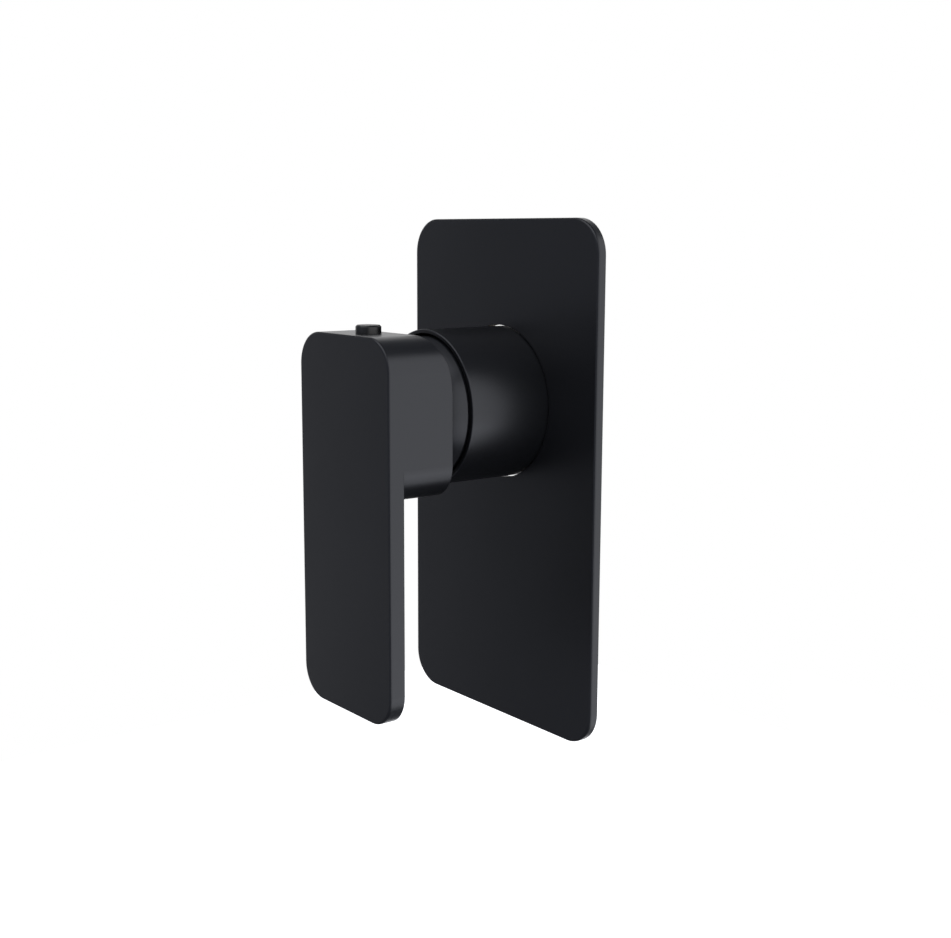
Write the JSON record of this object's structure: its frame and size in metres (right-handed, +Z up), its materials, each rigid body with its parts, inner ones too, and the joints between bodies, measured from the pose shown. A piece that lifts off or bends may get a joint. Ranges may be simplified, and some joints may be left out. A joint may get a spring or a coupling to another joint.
{
  "type": "shower mixer",
  "caption": "Wall-mounted single-lever shower mixer with concealed valve body, round sleeve, rounded rectangular cover plate and a square-necked lever that lifts and swings.",
  "frame": {"origin": "where the cartridge's axis meets the wall face, which is the back of the cover plate", "axes": "+Z up, +Y into the wall, so the front faces -Y; +X to the right as the user looks at it"},
  "size_m": [0.095, 0.1104, 0.168],
  "materials": {
    "cast_brass": "sand-cast skin",
    "turned_brass": "turned",
    "seal_rubber": "moulded",
    "black_coating": "matte black powder coat",
    "gasket_foam": "closed-cell foam",
    "white_acetal": "moulded",
    "alumina": "lapped",
    "grey_plastic": "moulded",
    "red_plastic": "moulded",
    "satin_steel": "machined",
    "black_plastic": "moulded"
  },
  "bodies": {
    "mixer_body": {"valve_body": "cast_brass", "outlet_plug": "turned_brass", "plug_o_ring": "seal_rubber", "sleeve_o_rings": "seal_rubber", "cover_plate": "black_coating", "plate_gasket": "gasket_foam", "sleeve": "black_coating", "dome_ring": "black_coating", "cartridge_nut": "turned_brass", "cartridge_base": "white_acetal", "base_seals": "seal_rubber", "disc_seals": "seal_rubber", "fixed_disc": "alumina", "cartridge_housing": "grey_plastic"},
    "turret": {"turret": "white_acetal", "temperature_stop": "red_plastic", "pivot_pin": "satin_steel"},
    "lever": {"handle": "black_coating", "spindle": "satin_steel", "grub_screw": "satin_steel", "screw_cap": "black_plastic"},
    "disc": {"moving_disc": "alumina", "disc_carrier": "grey_plastic"}
  },
  "joints": [
    {"name": "handle_swing", "type": "hinge", "parent": "mixer_body", "child": "turret", "pos_m": [0, -0.024, 0], "axis": [0, 1, 0], "range_deg": [-45, 45]},
    {"name": "handle_lift", "type": "hinge", "parent": "turret", "child": "lever", "pos_m": [0, -0.024, 0], "axis": [-1, 0, 0], "range_deg": [0, 25]},
    {"name": "disc_slide", "type": "slide", "parent": "turret", "child": "disc", "axis": [0, 0, -1], "range_m": [0, 0.00467]}
  ],
  "couplings": [
    {"joint": "disc_slide", "follows": "handle_lift", "m_per_rad": 0.0107}
  ]
}
